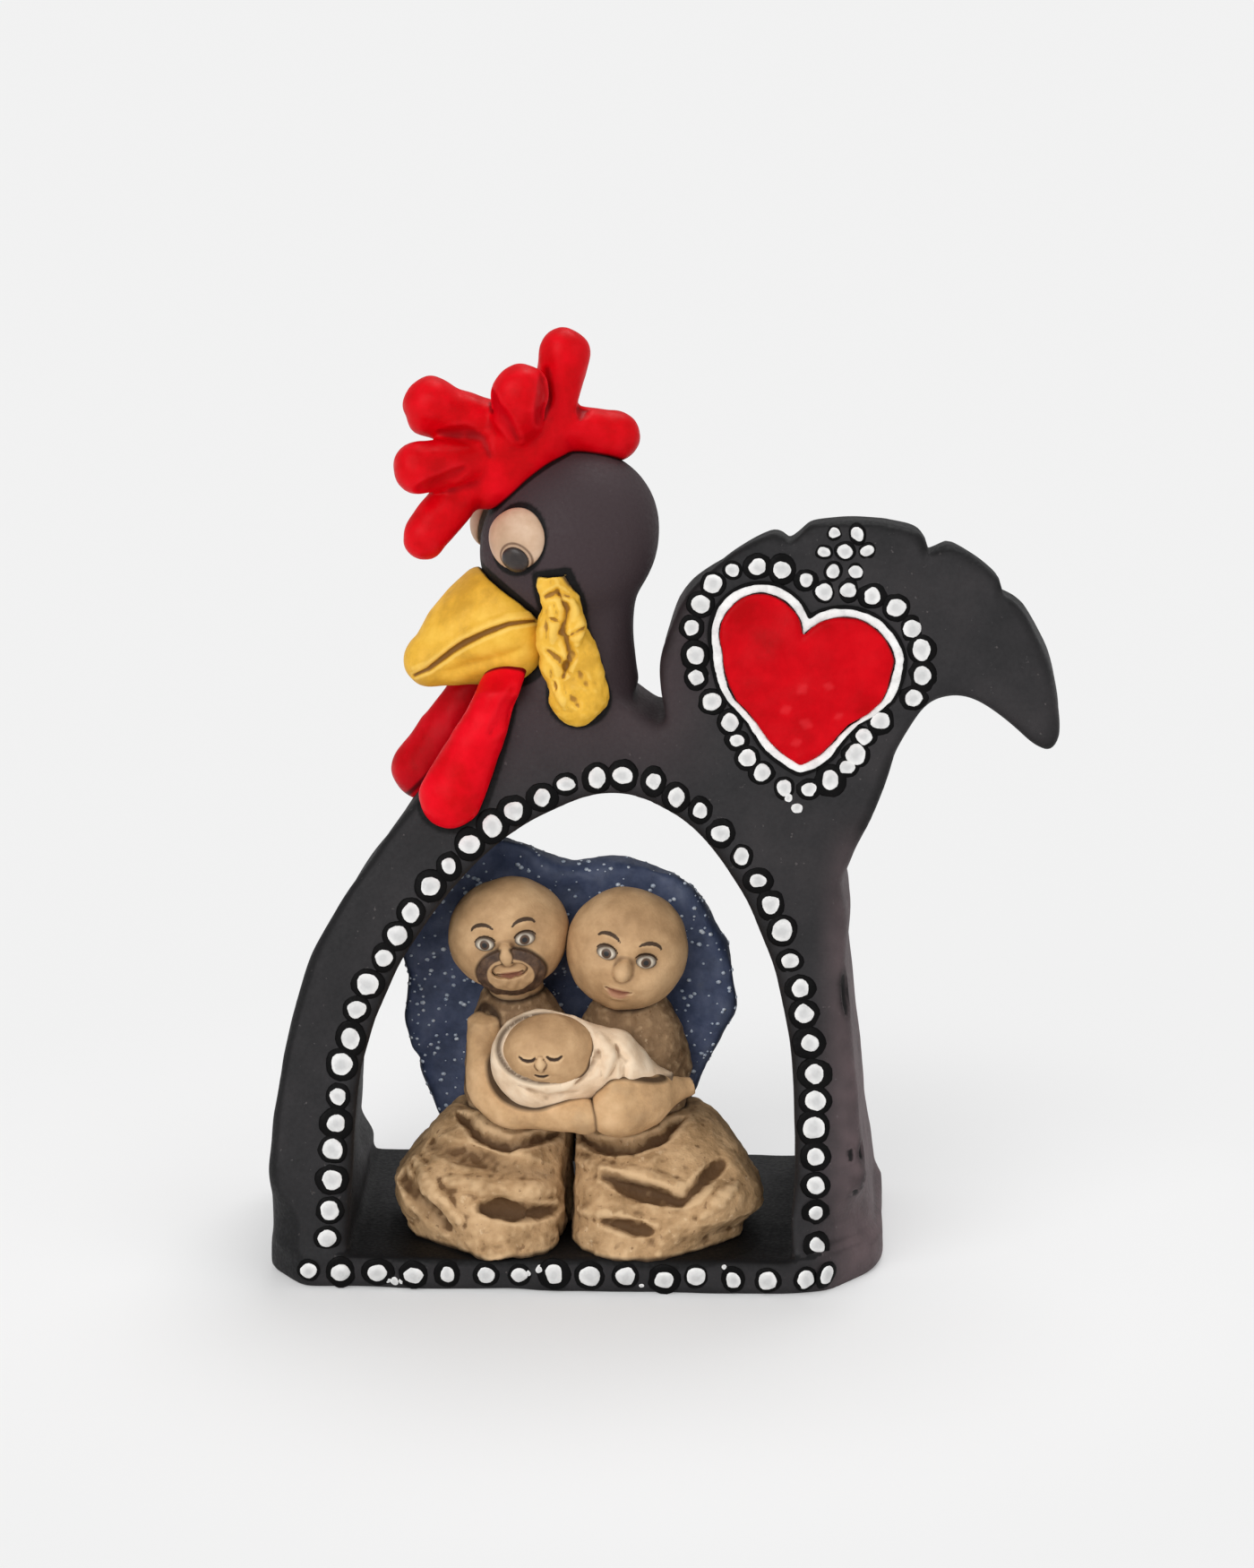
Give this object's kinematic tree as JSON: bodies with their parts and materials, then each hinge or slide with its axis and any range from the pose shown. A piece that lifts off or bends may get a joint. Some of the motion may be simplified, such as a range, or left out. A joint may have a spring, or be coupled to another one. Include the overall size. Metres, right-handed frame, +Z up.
{
  "type": "folk rooster nativity ornament",
  "caption": "Painted clay rooster on a flat base, its body an open arch over a seated family with a child; red comb and wattles, yellow beak, heart on the tail and rows of white dots.",
  "frame": {"origin": "middle of the base plate's underside", "axes": "+Z up, -Y towards the viewer of the decorated front, +X towards the tail"},
  "size_m": [0.1057, 0.0448, 0.1259],
  "materials": {
    "black_paint": "matt black paint on fired clay",
    "red_glaze": "glossy red lacquer",
    "yellow_paint": "satin mustard yellow paint",
    "cream_paint": "satin cream paint",
    "pupil_brown": "satin dark brown paint",
    "heart_red": "satin red lacquer",
    "white_paint": "thick white paint",
    "tan_clay": "bare tan clay with a brown wash",
    "brown_paint": "matt brown paint",
    "figure_eyes": "matt cream paint",
    "cream_cloth": "bare cream clay",
    "navy_glitter": "dark blue paint with specks of glitter"
  },
  "bodies": {
    "root": {"base_plate": "black_paint", "body_arch": "black_paint", "tail": "black_paint", "neck": "black_paint", "head": "black_paint", "comb_ridge": "red_glaze", "comb_finger_1": "red_glaze", "comb_finger_2": "red_glaze", "comb_finger_3": "red_glaze", "comb_finger_4": "red_glaze", "comb_finger_5": "red_glaze", "comb_finger_6": "red_glaze", "wattle_near": "red_glaze", "wattle_far": "red_glaze", "beak": "yellow_paint", "ear_near": "yellow_paint", "ear_far": "yellow_paint", "eye_near": "cream_paint", "eye_far": "cream_paint", "pupil_near": "pupil_brown", "pupil_far": "pupil_brown", "heart": "heart_red", "heart_border": "white_paint", "arch_dots": "white_paint", "base_dots": "white_paint", "heart_dots": "white_paint", "rosette_dots": "white_paint", "man_robe": "tan_clay", "woman_robe": "tan_clay", "man_torso": "tan_clay", "woman_torso": "tan_clay", "man_head": "tan_clay", "woman_head": "tan_clay", "man_arm": "tan_clay", "woman_arm": "tan_clay", "child_head": "tan_clay", "man_beard": "brown_paint", "man_eyes": "figure_eyes", "woman_eyes": "figure_eyes", "child_wrap": "cream_cloth", "mantle": "navy_glitter"}
  },
  "joints": []
}
